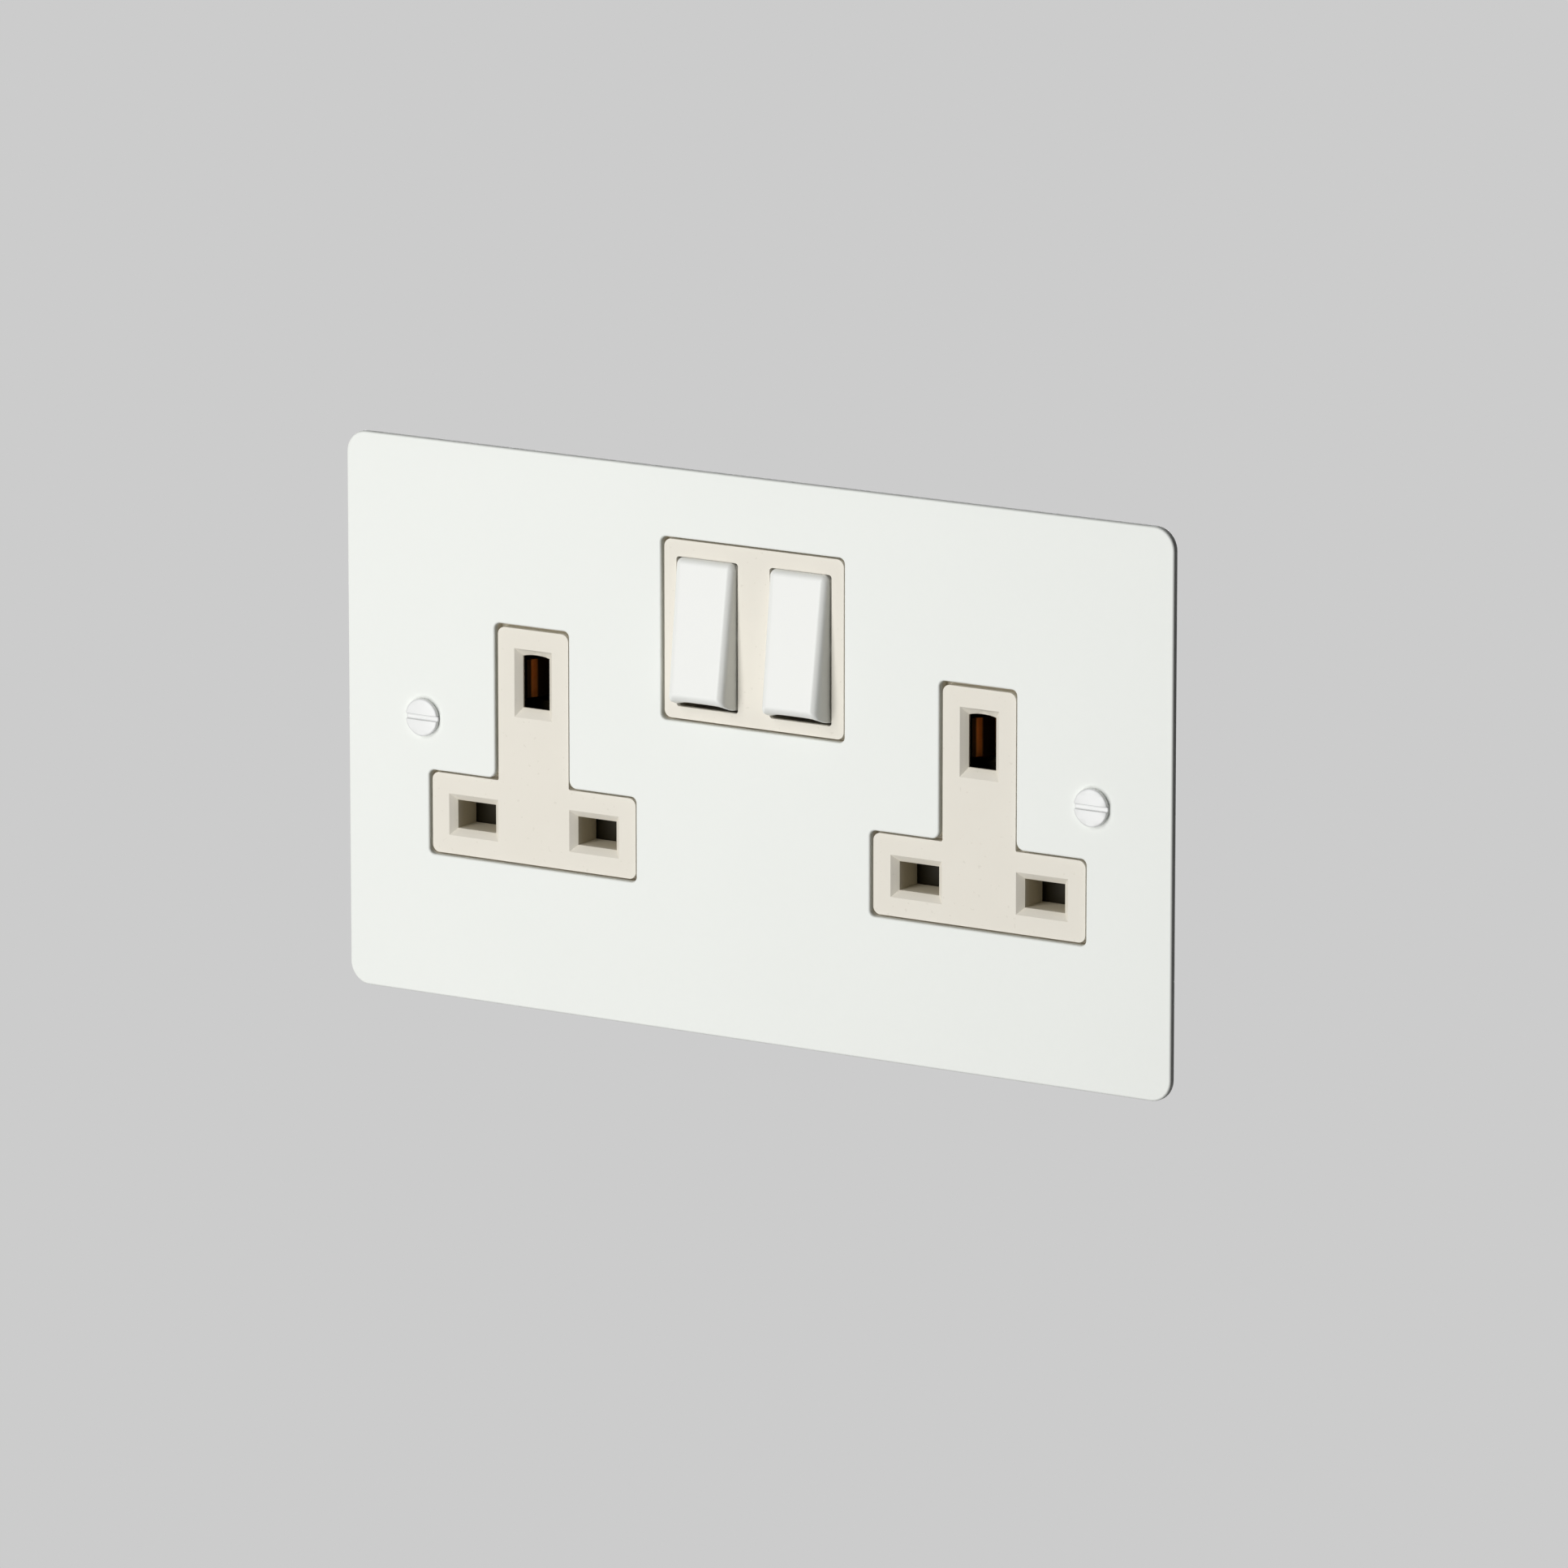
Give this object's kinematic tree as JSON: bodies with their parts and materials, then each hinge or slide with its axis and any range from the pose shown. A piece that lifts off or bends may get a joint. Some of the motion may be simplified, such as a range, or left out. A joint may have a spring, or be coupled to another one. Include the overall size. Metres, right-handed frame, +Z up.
{
  "type": "twin switched wall socket",
  "caption": "Flat metal-plate wall socket: switched pin outlets with sliding shutters, rocker switches, spring contacts, rails and rear terminals.",
  "frame": {"origin": "centre of the plate's back face, midway between the fixing screws, in the wall plane", "axes": "+X to the right seen from the front, +Y back into the wall, +Z up"},
  "size_m": [0.1484, 0.0274, 0.088],
  "materials": {
    "plate_white": "satin white powder coat",
    "insert_cream": "fine satin moulded plastic",
    "housing_charcoal": "plain moulded plastic",
    "screw_white": "gloss white paint on the head",
    "zinc_steel": "zinc plated",
    "rocker_white": "satin moulded plastic",
    "shutter_charcoal": "plain moulded plastic",
    "plunger_nylon": "natural nylon",
    "spring_steel": "drawn spring wire",
    "contact_brass": "rolled spring brass",
    "terminal_brass": "machined brass"
  },
  "bodies": {
    "socket": {"front_plate": "plate_white", "front_moulding": "insert_cream", "rear_housing": "housing_charcoal", "fixing_screws": "screw_white", "body_screws": "zinc_steel", "plate_bushes": "zinc_steel", "left_shutter_spring": "spring_steel", "right_shutter_spring": "spring_steel", "left_live_contact": "contact_brass", "right_live_contact": "contact_brass", "live_rail": "contact_brass", "neutral_rail": "contact_brass", "earth_rail": "contact_brass", "live_terminal": "terminal_brass", "neutral_terminal": "terminal_brass", "earth_terminal": "terminal_brass", "terminal_screws": "terminal_brass"},
    "left_rocker": {"left_rocker": "rocker_white", "left_plunger_spring": "spring_steel"},
    "left_plunger": {"left_plunger": "plunger_nylon"},
    "left_blade": {"left_switch_blade": "contact_brass"},
    "left_shutter": {"left_shutter": "shutter_charcoal"},
    "right_rocker": {"right_rocker": "rocker_white", "right_plunger_spring": "spring_steel"},
    "right_plunger": {"right_plunger": "plunger_nylon"},
    "right_blade": {"right_switch_blade": "contact_brass"},
    "right_shutter": {"right_shutter": "shutter_charcoal"}
  },
  "joints": [
    {"name": "left_rocker_tilt", "type": "hinge", "parent": "socket", "child": "left_rocker", "pos_m": [-0.0084, 0.001, 0.01885], "axis": [1, 0, 0], "range_deg": [0, 14]},
    {"name": "left_blade_swing", "type": "hinge", "parent": "socket", "child": "left_blade", "pos_m": [-0.0084, 0.0105, 0.01885], "axis": [1, 0, 0], "range_deg": [-17, 0]},
    {"name": "left_plunger_slide", "type": "slide", "parent": "left_rocker", "child": "left_plunger", "axis": [0, -0.9925, 0.1219], "range_m": [0, 0.0012], "stiffness_N_per_m": 400, "springref_m": -0.003, "deforming": ["left_plunger_spring"]},
    {"name": "left_shutter_drop", "type": "slide", "parent": "socket", "child": "left_shutter", "axis": [0, 0, -1], "range_m": [0, 0.0056], "stiffness_N_per_m": 100, "springref_m": -0.01, "deforming": ["left_shutter_spring"]},
    {"name": "right_rocker_tilt", "type": "hinge", "parent": "socket", "child": "right_rocker", "pos_m": [0.0084, 0.001, 0.01885], "axis": [1, 0, 0], "range_deg": [0, 14]},
    {"name": "right_blade_swing", "type": "hinge", "parent": "socket", "child": "right_blade", "pos_m": [0.0084, 0.0105, 0.01885], "axis": [1, 0, 0], "range_deg": [-17, 0]},
    {"name": "right_plunger_slide", "type": "slide", "parent": "right_rocker", "child": "right_plunger", "axis": [0, -0.9925, 0.1219], "range_m": [0, 0.0012], "stiffness_N_per_m": 400, "springref_m": -0.003, "deforming": ["right_plunger_spring"]},
    {"name": "right_shutter_drop", "type": "slide", "parent": "socket", "child": "right_shutter", "axis": [0, 0, -1], "range_m": [0, 0.0056], "stiffness_N_per_m": 100, "springref_m": -0.01, "deforming": ["right_shutter_spring"]}
  ],
  "couplings": [
    {"joint": "left_blade_swing", "follows": "left_rocker_tilt", "ratio": -1.2143},
    {"joint": "right_blade_swing", "follows": "right_rocker_tilt", "ratio": -1.2143}
  ]
}
